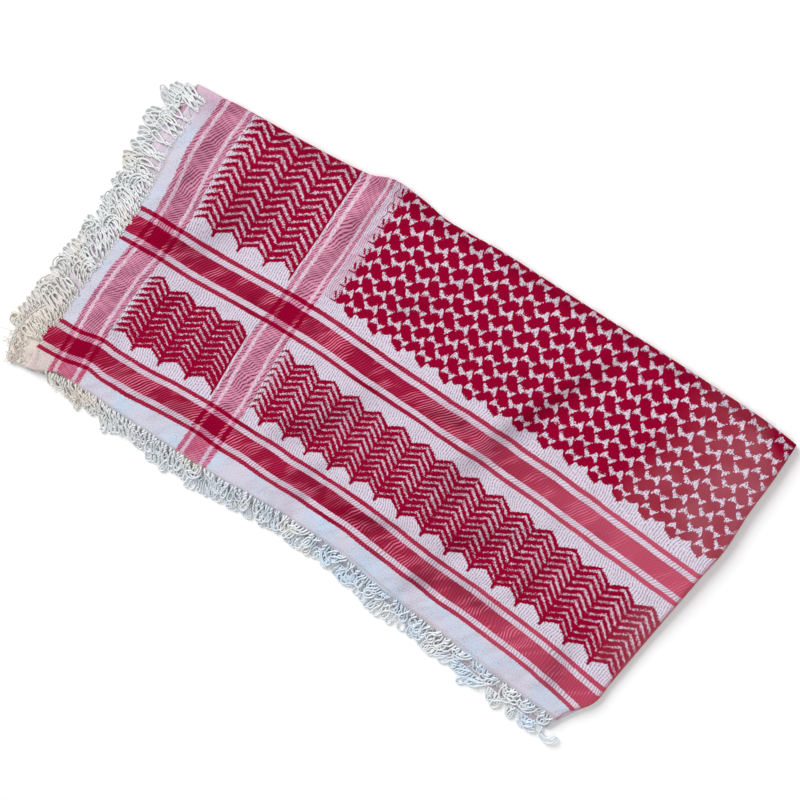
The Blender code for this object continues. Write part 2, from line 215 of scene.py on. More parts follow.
# Where the woven stripes and given columns of the pattern lie on the packet. The weave has its own
# millimetres: u runs from the first pale stripe, and v from the first red one.
weave = dict(
    redNear=(
        (-295, -121.8), (-268, -119.5), (-245, -112.8), (-228, -114.2), (-197, -112), (-141, -105),
        (-85, -104), (-29, -102.4), (27, -100.4), (83, -104), (139, -108.1), (195, -110), (251, -114),
        (279, -117.9), (321, -123.8),
    ),
    redFar=(
        (-295, 17.4), (-253, 21.6), (-197, 24.1), (-141, 29.4), (-85, 33.6), (-29, 32.5), (27, 32.2),
        (111, 33), (167, 32.8), (223, 30.1), (279, 28), (321, 26.6),
    ),
    paleNear=(
        (-157.6, -261.1), (-108.6, -259.8), (-80.6, -259.6), (-52.6, -257.9), (-24.6, -254.3),
        (3.4, -248.7), (31.4, -244.8), (59.4, -244.2), (115.4, -245.9), (157.4, -241.8), (185.4, -239.5),
    ),
    paleFar=(
        (-157.6, -118.8), (-108.6, -116), (-80.6, -113), (-24.6, -114.2), (3.4, -113.2),
        (31.4, -109.8), (59.4, -107.6), (115.4, -104.2), (185.4, -101.8),
    ),
    stripColumns=((-66.7, 186.8), (33.3, 290.8), (141.9, 394.8), (223, 472.8), (309.9, 550.8)),
    fieldColumns=((-64.5, 191.5), (5.5, 262.2), (75.5, 332), (145.5, 400.3), (215.5, 467.2), (285.5, 530.6)),
    columnBlend=(112, 60),  # v where the field's columns take over, and over how far
    fieldLift=(  # x, shift of rows by the far red stripe, and by the long fold
        (-64.5, 0.6, -2.9), (5.5, 1.5, -1.3), (75.5, 0.4, 0.5), (145.5, 2.2, 2.6), (215.5, 2.9, 3.2),
        (285.5, 4.3, 7),
    ),
    liftFrom=((160, 12), (-118, 40)),  # v and x where the shift starts, and over how far
    liftSpan=(181, 98, 1.4),  # v of its two columns: start, span, and how far beyond
    pitch=140,
)


def clothPlace(x, y):  # the weave's u and v at a point of the plan
    nearRed, farRed = (curveThrough(weave[line], x) for line in ("redNear", "redFar"))
    nearPale, farPale = (curveThrough(weave[line], y) for line in ("paleNear", "paleFar"))
    pitch = weave["pitch"]
    between = np.minimum(1, (y - nearRed) / (farRed - nearRed)) * pitch + np.maximum(0, y - farRed)
    v = np.where(y < nearRed, y - nearRed, between)
    held = np.clip(x, weave["fieldLift"][0][0], weave["fieldLift"][-1][0])
    lift, liftTop = (curveThrough(weave["fieldLift"], held, column) for column in (1, 2))
    inField = smoothStep(v, *weave["liftFrom"][0]) * smoothStep(x, *weave["liftFrom"][1])
    start, span, most = weave["liftSpan"]
    v = v - inField * (lift + (liftTop - lift) * np.clip((v - start) / span, 0, most))
    firstX, stripFirst = weave["stripColumns"][0]
    fieldFirst = float(curveThrough(weave["fieldColumns"], firstX))
    fieldShare = smoothStep(v, *weave["columnBlend"])
    held = np.maximum(x, firstX)
    strip, field = (curveThrough(weave[columns], held) for columns in ("stripColumns", "fieldColumns"))
    first = stripFirst + (fieldFirst - stripFirst) * fieldShare
    u = np.where(x < nearPale, x - nearPale, (x - nearPale) / (farPale - nearPale) * pitch)
    u = np.where(x > farPale, pitch + (x - farPale) / (firstX - farPale) * (first - pitch), u)
    return np.where(x > firstX, strip + (field - strip) * fieldShare, u), v


# Folded sheets: thin shells over the top, round both folds and back underneath. Reach is how far the
# two hems lie out, against the lower hem, or in millimetres for the outer ply. Upper and lower are
# where the two skins come to at the hems, as shares of the height.
sheets = dict(
    roundSteps=14,
    coarseStep=4,  # cells to a face out of sight
    groove=(0.22, 0.2, 0.08),  # dip round the short fold: depth, width, run-out
    rimShadeLine=(0.95, 0.5),  # painted shade round the short fold: how far round, and width, in radians
    hemShadowLine=(1.6, 1.3),  # painted shadow line by the hems: distance from the hem, and half width
    hemWander=0.7,
    wanderWaves=7,
    wanderLength=(14, 60),
    hemBase=1.8,  # thickness of the edges above and below the stepped plies
    hemSpan=10,
    tuckRise=(0.3, 0.25),  # where the tucked plies lift the upper edges, and over how far
    cutRound=0.3,  # how far a cut edge rounds out, against the wall
    outer=dict(cells=(300, 172), acrossFrom=0, depth=0, reach=(0, -3), span=14, seed=4),
    inner=dict(cells=(200, 116), acrossFrom=0, depth=1.25, reach=(0.6, 1), span=24, seed=5,
               upper=(0.66, 0.12), lower=(0.17, 0.45)),
    tucked=dict(cells=(200, 64), acrossFrom=0.45, depth=2.5, reach=(0.3, 0.72), span=24, seed=6,
                upper=(0.62, 0), lower=(0.38, 0)),
)


def wander(seed, places, size):  # smooth seeded unevenness along a line
    draw = random.Random(seed)
    total = np.zeros_like(places)
    for _ in range(sheets["wanderWaves"]):
        turn = 6.2832 / draw.uniform(*sheets["wanderLength"])
        total = total + math.sin(draw.uniform(0, 6.28)) * np.sin(places * turn + draw.uniform(0, 6.28))
    return total * size / 2


def plyHeights(kind, along, across):  # upper skin over the top, lower skin underneath
    top = topHeight(along, across)
    if kind == "outer":
        return top, np.zeros_like(top)
    inward = insideHems(*planPoint(along, across), along, across)
    nearHem = np.maximum(*(bell(distance, 0, sheets["hemSpan"]) for distance in inward))
    base, depth = sheets["hemBase"], sheets[kind]["depth"]
    core = top - 2 * base
    share, more = sheets[kind]["upper"]
    share = share + more * smoothStep(across, *sheets["tuckRise"])
    upper = top - depth + (base + core * share - top + depth) * nearHem
    share, sink = sheets[kind]["lower"]
    return upper, depth + (base + core * share - sink - depth) * nearHem


def lowerHem(side, share):  # how far the lowest hem lies out from the top ply's
    corner = bell(share * packet["length"][side], 0, packet["cornerSpan"])
    return curveThrough(packet[side], share, 3) * packet["lowerReach"] + packet["cornerReach"][side] * corner


def sheetGrid(kind, face, along, across, drop):  # one half of a sheet, before the folds
    s, t = np.meshgrid(along, across, indexing="ij")
    x, y = planPoint(s, t)
    spec, length = sheets[kind], packet["length"]
    out = spec["reach"][0 if face == "top" else 1]
    seed = spec["seed"] + (0 if face == "top" else 7)
    for side, shares, inward, shape in (
        ("end", across, s * length["side"], (1, -1)), ("side", along, t * length["end"], (-1, 1))
    ):
        distance = shares * length[side]
        size = sheets["hemWander"] * (1 + packet["cornerWander"] * bell(distance, 0, packet["cornerSpan"]))
        reach = out if kind == "outer" else out * lowerHem(side, shares)
        reach = reach + wander(seed + 50 * (side == "side"), distance, size)
        outX, outY = edgeNormal(side, shares)
        near = bell(inward, 0, spec["span"])
        x = x + (outX * reach).reshape(shape) * near
        y = y + (outY * reach).reshape(shape) * near
    upper, lower = plyHeights(kind, s, t)
    return np.stack([x, y, upper - drop if face == "top" else lower + drop], axis=-1)


def coarseFaces(index, step, flip):  # wide faces, but with every point on the border
    lastRow, lastColumn = index.shape[0] - 1, index.shape[1] - 1
    rows, columns = (sorted({*range(0, last, step), last}) for last in (lastRow, lastColumn))
    faces = []
    for low, high in zip(rows, rows[1:]):
        for left, right in zip(columns, columns[1:]):
            block = index[low : high + 1, left : right + 1]
            edges = (
                (block[:-1, 0], left == 0), (block[-1, :-1], high == lastRow),
                (block[:0:-1, -1], right == lastColumn), (block[0, :0:-1], low == 0),
            )
            face = [int(point) for edge, whole in edges for point in (edge if whole else edge[:1])]
            faces.append(face[::-1] if flip else face)
    return faces


def quads(index, flip=False):
    a, b, c, d = index[:-1, :-1], index[1:, :-1], index[1:, 1:], index[:-1, 1:]
    corners = np.stack([a, d, c, b] if flip else [a, b, c, d], axis=-1)
    return corners.reshape(-1, 4).tolist()


class ShellMaker:  # gathers the parts of one shell
    def __init__(self):
        self.blocks, self.faces, self.under = [], [], []
        self.count = 0

    def add(self, points, topPlaces, underPlaces, rim=0):
        shape = points.shape[:-1]
        rim = np.broadcast_to(rim, shape).ravel()
        places = (block.reshape(-1, block.shape[-1]) for block in (points, topPlaces, underPlaces))
        self.blocks.append((*places, rim))
        self.count += len(rim)
        return self.count - len(rim) + np.arange(len(rim)).reshape(shape)

    def face(self, faces, under):
        self.faces += faces
        self.under += [under] * len(faces)

    def gathered(self):
        return [np.concatenate(parts) for parts in zip(*self.blocks)]


def unit(vectors):
    return vectors / np.linalg.norm(vectors, axis=-1, keepdims=True)


def added(name, data):  # a new object in the scene
    item = bpy.data.objects.new(name, data)
    bpy.context.scene.collection.objects.link(item)
    return item


def meshFrom(name, points, faces, places, material, shades=()):
    data = bpy.data.meshes.new(name)
    data.from_pydata(((points - packet["centre"]) * mm).tolist(), [], faces)
    data.uv_layers.new(name="weave").data.foreach_set("uv", places.astype(np.float32).ravel())
    for label, values in dict(shades).items():
        data.attributes.new(label, "FLOAT", "POINT").data.foreach_set("value", values.astype(np.float32))
    data.materials.append(material)
    data.validate()
    data.shade_smooth()
    return added(name, data)


def makeFoldedSheet(name, kind, material):
    spec, steps = sheets[kind], sheets["roundSteps"]
    wide, deep = spec["cells"]
    along = np.linspace(0, 1, wide + 1)
    across = np.linspace(spec["acrossFrom"], 1, deep + 1)
    turn = math.pi * np.arange(steps + 1) / steps
    # up the short fold, and back along the long one
    rows = np.r_[[wide] * deep, wide:-1:-1]
    columns = np.minimum(np.arange(len(rows)), deep)
    endNormal = np.stack(edgeNormal("endFold", across), -1)
    sideNormal = np.stack(edgeNormal("sideFold", along), -1)
    corner = unit(endNormal[-1] + sideNormal[-1]) * packet["cornerStretch"]
    normal = np.r_[endNormal[:-1], [corner], sideNormal[-2::-1]]
    depth, width, runOut = sheets["groove"]
    onEnd = np.clip((deep - np.arange(len(rows))) / (runOut * deep), 0, 1)[:, None]
    grooved = 1 - depth * onEnd * bell(turn, math.pi / 2, width)
    # painted shade on the short fold's rounded edge
    rim = onEnd * bell(turn, *sheets["rimShadeLine"])
    maker = ShellMaker()
    borders = []
    for drop in (0, packet["wall"]):
        top, under = (sheetGrid(kind, face, along, across, drop) for face in ("top", "under"))
        topPlace = np.stack(clothPlace(*np.moveaxis(top - packet["centre"], -1, 0)[:2]), axis=-1)
        start, finish = top[rows, columns], under[rows, columns]
        out = (packet["foldReach"] - spec["depth"] - drop) * np.sin(turn) * grooved
        ring = np.empty((len(rows), steps + 1, 3))
        ring[..., :2] = start[:, None, :2] + (finish - start)[:, None, :2] * (turn / math.pi)[:, None]
        ring[..., :2] += normal[:, None] * out[..., None]
        middle, half = (start[:, 2:] + finish[:, 2:]) / 2, (start[:, 2:] - finish[:, 2:]) / 2
        ring[..., 2] = middle + half * np.cos(turn)
        arc = np.cumsum(np.linalg.norm(np.diff(ring, axis=1), axis=-1), axis=1)
        arc = np.column_stack([np.zeros(len(rows)), arc])
        left = arc[:, -1:] - arc
        # underneath, the weave is turned over about the long fold
        underPlace = topPlace.copy()
        underPlace[..., 1] = 2 * topPlace[:, -1:, 1] + arc[deep:, -1:][::-1] - topPlace[..., 1]
        ringTop, ringUnder = (
            np.repeat(place[rows, columns][:, None], steps + 1, axis=1) for place in (topPlace, underPlace)
        )
        ringTop[:deep, :, 0] += arc[:deep]
        ringTop[deep:, :, 1] += arc[deep:]
        ringUnder[:deep, :, 0] += left[:deep]
        ringUnder[deep:, :, 1] -= left[deep:]
        topIndex = maker.add(top, topPlace, topPlace)
        ringIndex = maker.add(ring[:, 1:-1], ringTop[:, 1:-1], ringUnder[:, 1:-1], rim[:, 1:-1])
        underIndex = maker.add(under, underPlace, underPlace)
        inside = drop > 0
        coarse = sheets["coarseStep"]
        maker.face(coarseFaces(topIndex, coarse, True) if inside else quads(topIndex), False)
        maker.face(coarseFaces(underIndex, coarse, not inside), True)
        ringIndex = np.column_stack([topIndex[rows, columns], ringIndex, underIndex[rows, columns]])
        halfWay = steps // 2
        maker.face(quads(ringIndex[:, : halfWay + 1], not inside), False)
        maker.face(quads(ringIndex[:, halfWay:], not inside), True)
        borders.append(np.r_[
            topIndex[0, ::-1], topIndex[1:, 0], ringIndex[0, 1:],
            underIndex[-2::-1, 0], underIndex[0, 1:], ringIndex[-1, -2:0:-1],
        ])
    # the cut edge, a little rounded
    outer, inner = borders
    points, topPlaces, underPlaces, _ = maker.gathered()
    edge = (points[outer] + points[inner]) / 2
    run = np.roll(edge, -1, axis=0) - np.roll(edge, 1, axis=0)
    side = np.stack([run[:, 1], -run[:, 0]], axis=-1)
    side /= np.maximum(1e-6, np.linalg.norm(side, axis=1))[:, None]
    side *= np.sign((side * (edge - points.mean(axis=0))[:, :2]).sum(axis=1))[:, None]
    edge[:, :2] += side * packet["wall"] * sheets["cutRound"]
    middle = maker.add(edge, topPlaces[outer], underPlaces[outer])
    for one, other in ((outer, middle), (middle, inner)):
        maker.face(np.stack([one, other, np.roll(other, -1), np.roll(one, -1)], axis=-1).tolist(), False)
    points, topPlaces, underPlaces, rim = maker.gathered()
    places = [(underPlaces if under else topPlaces)[face] for face, under in zip(maker.faces, maker.under)]
    shades = {}
    if kind == "outer":
        wear, hem = clothShades(points)
        shades = dict(wear=wear, rim=rim, hem=hem)
    piece = meshFrom(name, points, maker.faces, np.concatenate(places) * mm, material, shades)
    print(name, len(piece.data.polygons), "faces")
    return piece


def operatorPair(operation):  # an operator and its reflected form
    return (
        lambda wire, other: wire.math(operation, wire, other),
        lambda wire, other: wire.math(operation, other, wire),
    )


class Wire:  # one value in a material: sums written on it add the Math nodes
    def __init__(self, finish, socket):
        self.finish = finish
        self.socket = socket

    def math(self, operation, *values, clamp=False):
        return self.finish.node("ShaderNodeMath", dict(operation=operation, use_clamp=clamp), values)

    __add__, __radd__ = operatorPair("ADD")
    __sub__, __rsub__ = operatorPair("SUBTRACT")
    __mul__, __rmul__ = operatorPair("MULTIPLY")
    __truediv__, __rtruediv__ = operatorPair("DIVIDE")
    __mod__, __rmod__ = operatorPair("FLOORED_MODULO")
    __or__, __ror__ = operatorPair("MAXIMUM")  # the larger of two
    __and__, __rand__ = operatorPair("MINIMUM")  # the smaller of two

    def __abs__(self):
        return self.math("ABSOLUTE", self)

    def floor(self):
        return self.math("FLOOR", self)

    def wave(self, length):  # 0 to 1 and back over each length
        return self.math("SINE", self * (math.tau / length)) * 0.5 + 0.5

    def over(self, edge, soft=0.4):  # 0 below the edge, 1 above it
        return self.math("MULTIPLY_ADD", self - edge, 1 / soft, 0.5, clamp=True)

    def under(self, edge, soft=0.4):
        return self.math("MULTIPLY_ADD", edge - self, 1 / soft, 0.5, clamp=True)


def shade(red, green, blue):  # a screen colour, for a shader
    parts = (part / 255 for part in (red, green, blue))
    return (*(part / 12.92 if part <= 0.04045 else ((part + 0.055) / 1.055) ** 2.4 for part in parts), 1)


class Finish:  # a material, and the nodes added to it
    def __init__(self, name, tints):
        self.material = bpy.data.materials.new(name)
        self.material.use_nodes = True
        self.tree = self.material.node_tree
        self.tree.nodes.clear()
        self.tints = tints

    def node(self, kind, settings=(), inputs=(), output=0):
        node = self.tree.nodes.new(kind)
        for key, value in dict(settings).items():
            if key == "curve":  # a drawn line's points
                line = node.mapping.curves[0]
                for place in value[1:-1]:
                    line.points.new(*place)
                line.points[0].location, line.points[-1].location = value[0], value[-1]
                for point in line.points:
                    point.handle_type = "VECTOR"
                node.mapping.update()
            else:
                setattr(node, key, value)
        for key, value in inputs.items() if isinstance(inputs, dict) else enumerate(inputs):
            if isinstance(value, Wire):
                self.tree.links.new(value.socket, node.inputs[key])
            else:
                node.inputs[key].default_value = value
        return None if output is None else Wire(self, node.outputs[output])

    def layers(self, colour, *coats, way="MIX"):  # each coat is a share and a tint
        settings = dict(data_type="RGBA", blend_type=way, clamp_factor=True)
        for share, tint in coats:
            both = [shade(*self.tints[tone]) if isinstance(tone, str) else tone for tone in (colour, tint)]
            colour = self.node("ShaderNodeMix", settings, {0: share, 6: both[0], 7: both[1]}, output=2)
        return colour

    def noise(self, place, scale, detail=1):
        if isinstance(place, tuple):
            place = self.node("ShaderNodeCombineXYZ", (), place)
        return self.node("ShaderNodeTexNoise", (), {"Vector": place, "Scale": scale, "Detail": detail})

    def drift(self, place, scale, size, detail=1):  # noise to either side of nothing
        return (self.noise(place, scale, detail) - 0.5) * size

    def chance(self, x, y, wide, deep):  # one random value for each small block
        place = self.node("ShaderNodeCombineXYZ", (), ((x / wide).floor(), (y / deep).floor()))
        return self.node("ShaderNodeTexWhiteNoise", dict(noise_dimensions="2D"), {"Vector": place})

    def weavePlace(self):  # u and v, in millimetres
        both = self.node("ShaderNodeUVMap", dict(uv_map="weave"))
        return [self.node("ShaderNodeSeparateXYZ", (), (both,), output=axis) * 1000 for axis in (0, 1)]

    def piecePlace(self):
        return self.node("ShaderNodeTexCoord", output=3)

    def fromCorner(self):  # distance from the open corner, in metres
        ends = (self.piecePlace(), cotton["openCorner"])
        return self.node("ShaderNodeVectorMath", dict(operation="DISTANCE"), ends, output=1)

    def attribute(self, name):
        return self.node("ShaderNodeAttribute", dict(attribute_name=name), output=2)

    def finish(self, colour, rough, sheen, bump, height=0):  # bump is strength and depth
        relief = {"Strength": bump[0], "Distance": bump[1], "Height": height}
        shader = self.node("ShaderNodeBsdfPrincipled", (), {
            "Base Color": colour, "Roughness": rough, "Normal": self.node("ShaderNodeBump", (), relief),
            "Sheen Weight": sheen, "Sheen Roughness": 0.5, "Specular IOR Level": 0.02,
        })
        self.node("ShaderNodeOutputMaterial", dict(is_active_output=True), (shader,), output=None)
        return self.material


# The patterned cotton, in the weave's own millimetres.
cotton = dict(
    tints=dict(
        crimson=(160, 0, 50), crimsonDeep=(128, 0, 38), crimsonSoft=(158, 14, 58),
        crimsonLight=(240, 134, 164), pink=(220, 148, 174), pinkDeep=(112, 40, 74),
        belowPink=(184, 62, 98),  # the pale stripes by the near hem
        white=(218, 207, 222), whiteShade=(106, 86, 110),
        blush=(200, 138, 164),  # the white between the red floats
        lineTick=(146, 92, 112),  # dark ticks on the white lines
        margin=(200, 200, 214), marginCool=(190, 206, 226), marginWarm=(206, 198, 214),
        marginFar=(188, 152, 170),  # by the long fold
        # hem: painted shadow line along the open hems
        # rim: painted shade on the short fold's rounded edge
        corner=(208, 198, 192), hem=(166, 146, 142), rim=(196, 84, 98),
        faded=(196, 92, 116), fadedBold=(152, 70, 84),
        worn=(150, 132, 142),  # painted shade: multiplies the troughs, the patches and the long fold
    ),
    openCorner=(-0.305, -0.145, 0),  # the felted one, in metres
    red=(9.5, 15, 19.5),  # half widths: a stripe's band, its white, its line
    pale=(8.3, 11.6, 16),
    ribPitch=2.45, streakPitch=2.35, dashPitch=2.3, ripplePitch=5.6, tickPitch=2.3,
    sway=2.6, ragged=5,  # how far the lines wander, and how far their edges do
    thread=(1.2, 0.9), fleck=(1.7, 1.3),  # width and depth of one
    # Places are an edge and how soft it is, along or up the weave.
    marginAcross=(-16, 2), marginUp=(-19.5, 1),  # the plain cloth beside the hems
    farMargin=((266, 44), (318, 20)),  # its tint by the long fold
    steeper=((340, 170), (70, 0.4)),  # streaks are steeper beyond and below
    fade=(430, 260), boldFade=(505, 80), farFade=(560, 60),
    frayedBlock=(23.5, 6), frayedStrip=(163, 6),
    # The herringbone. Pairs are for its blocks and its long strip, or for the rows between the red
    # stripes and those beyond.
    blockEnds=(22, 122), stripFrom=160.5,
    parting=(147, 158),  # where the strip and the far rows take over
    pitch=(26.9, 26), peak=(27.5, 186.8),
    row=(7.5, 8), first=(105.6, 188), teeth=(38.9, 181.4), top=(110, 510),
    # share of the way from peak to peak, middle and half height of a white stroke, red outline
    chevron=(
        (0, -1.1, 1.2, 0), (0.03, -2.2, 1.5, -1.6), (0.1, -3.8, 1.8, -2.6), (0.25, -6.6, 1.45, -4.9),
        (0.32, -8.1, 1.4, -5.8), (0.4, -9.8, 1.5, -7.4), (0.46, -11.3, 0.7, -9.2), (0.5, -12, -0.3, -9.6),
        (0.54, -10.2, 0.8, -8.8), (0.6, -9.1, 1.25, -7.4), (0.75, -6.4, 0.75, -4.8),
        (0.9, -3.4, 1.25, -2.2), (0.97, -1.9, 1.3, -1.4), (1, -1.1, 1.2, 0),
    ),
    # The field. A white bow is where its repeat starts, and then place along, lower and upper edge.
    fieldPitch=25.72, fieldRow=16.65, fieldFrom=172,
    bowTall=((0, 20), (
        (0, 9, 0), (5, 5, 3), (5.9, 3.9, 8.6), (7, 5, 11.2), (8.4, 5.8, 12.5), (9.7, 6.2, 12.1),
        (10.9, 6.5, 10), (12.5, 7, 9), (13.7, 5.5, 8.7), (14.8, 3.1, 8.9), (16, 3, 9.4),
        (17.2, 5.2, 10), (18.6, 7.6, 10.6), (19.7, 10.9, 10.6), (25.7, 13, 4),
    )),
    bowWide=((12.86, 12.6), (
        (0, 13, 4), (4, 9.6, 9.2), (4.8, 7.2, 10.5), (6, 5.6, 10.9), (7.1, 4.2, 10.1), (8.3, 2.7, 9.1),
        (9.6, 2.8, 8.5), (10.7, 4.5, 8.3), (12, 5.7, 8.6), (13.7, 6, 10.9), (14.9, 5.6, 13.3),
        (16.1, 5.1, 13.6), (17.1, 3.9, 11.6), (17.8, 2.8, 9.4), (18.6, 3.4, 7.6), (19.2, 6.2, 6),
        (25.7, 12, 0),
    )),
    fieldHem=(  # its lower border
        (0, 174.4), (1.8, 176.3), (4, 172.9), (5.5, 170.3), (10.8, 168.4), (14.6, 166.6), (16.2, 168.6),
        (17, 172.6), (21.6, 171.6), (25.7, 174.2),
    ),
    # loose floats left of the field: both ends, and half width
    fieldClaws=(((167.8, 9), (170.4, 5.2), 1.2), ((166.4, 0.6), (172.6, 1.4), 0.7)),
)


def rowsCurve(wire, rows, column=1, length=1):  # a drawn line's height, over a repeat
    heights = [row[column] for row in rows]
    low, span = min(heights), max(heights) - min(heights)
    places = [row[0] / length for row in rows[:-1]] + [1]
    curve = [(place, (height - low) / span) for place, height in zip(places, heights)]
    return wire.finish.node("ShaderNodeFloatCurve", dict(curve=curve), {"Value": wire / length}) * span + low


def pick(share, pair):  # between two values
    return pair[0] + share * (pair[1] - pair[0])


def chevronRed(u, v, ragged, stepped):  # the herringbone, and its whole area
    c = cotton
    inStrip, beyond = u.over(c["parting"][0], 0.02), v.over(c["parting"][1], 0.02)
    pitch = pick(inStrip, c["pitch"])
    across = (u + stepped * 0.35 - pick(inStrip, c["peak"])) % pitch
    middle, half, outline = (rowsCurve(across / pitch, c["chevron"], column) for column in (1, 2, 3))
    row, first, low, high = (pick(beyond, c[name]) for name in ("row", "first", "teeth", "top"))
    frayed = (1 - inStrip) * u.under(*c["frayedBlock"]) | inStrip * u.under(*c["frayedStrip"])
    fromWhite = abs((v + ragged * 0.8 - first - middle + row * 0.5) % row - row * 0.5)
    thinner = u.under(130) * v.under(125) * 0.25 + v.under(56, 20) * 0.4 + 0.25
    white = (half - thinner + frayed * 1.3 + stepped * 0.75 - fromWhite).over(0, 0.7)
    edge = v - outline + ragged * 0.6 + stepped * 0.5
    inside = edge.over(low) * edge.under(high)
    drop = v - low + 9
    toValley = abs(across - pitch * 0.5) + ragged * 0.4
    tail = toValley.under(1.7 + drop * 0.1) * drop.over(-4.6, 1) * drop.under(1.6)
    shape = (inside * (1 - white)) | tail
    leftEdge = u + ragged * 1.6 + fromWhite * 1.5
    start, finish = c["blockEnds"]
    inBlock = u.under(finish, 0.5) * leftEdge.over(start, 1)
    seam = abs(u + ragged * 0.5 - (finish - 0.9)).under(0.7) * inside
    inStrip = leftEdge.over(c["stripFrom"], 0.8) * (1 - beyond)
    return ((shape | seam) * inBlock) | (shape * inStrip), inside * (inBlock | inStrip)


def bowWhite(u, v, bow):  # how far inside the white of one kind of bow
    (acrossFrom, upFrom), rows = bow
    pitch = cotton["fieldPitch"]
    low, high = (rowsCurve((u - acrossFrom) % pitch, rows, column, pitch) for column in (1, 2))
    up = (v - upFrom) % cotton["fieldRow"]
    return (up - low) & (high - up)


def strokeDistance(x, y, start, end):  # distance from a short straight float
    runX, runY = end[0] - start[0], end[1] - start[1]
    square = runX**2 + runY**2
    x, y = x - start[0], y - start[1]
    share = (x * (runX / square) + y * (runY / square) | 0) & 1
    offX, offY = x - share * runX, y - share * runY
    return x.math("SQRT", offX * offX + offY * offY)


def fieldRed(u, v, ragged, stepped):  # the field of bows, and its whole area
    c = cotton
    white = bowWhite(u, v, c["bowWide"]) | bowWhite(u, v, c["bowTall"])
    white = (white + ragged * 0.8 + stepped * 0.6).over(0.6, 0.7)
    hem = rowsCurve(u % c["fieldPitch"], c["fieldHem"], length=c["fieldPitch"])
    inside = (v + ragged * 0.6 + stepped * 0.5 - hem).over(0)
    inside = inside * (u + ragged * 1.5).over(c["fieldFrom"], 0.6)
    up = (v - 5) % c["fieldRow"]
    near = [(strokeDistance(u, up, *ends) + ragged * 0.5).under(half) for *ends, half in c["fieldClaws"]]
    claws = (near[0] | near[1]) * v.over(c["fieldFrom"], 0.1)
    loose = abs(u + v * 0.1 - 194 + v.wave(13) * 3).under(0.45) * v.over(262, 1)
    return (inside * (1 - white)) | claws | loose, inside


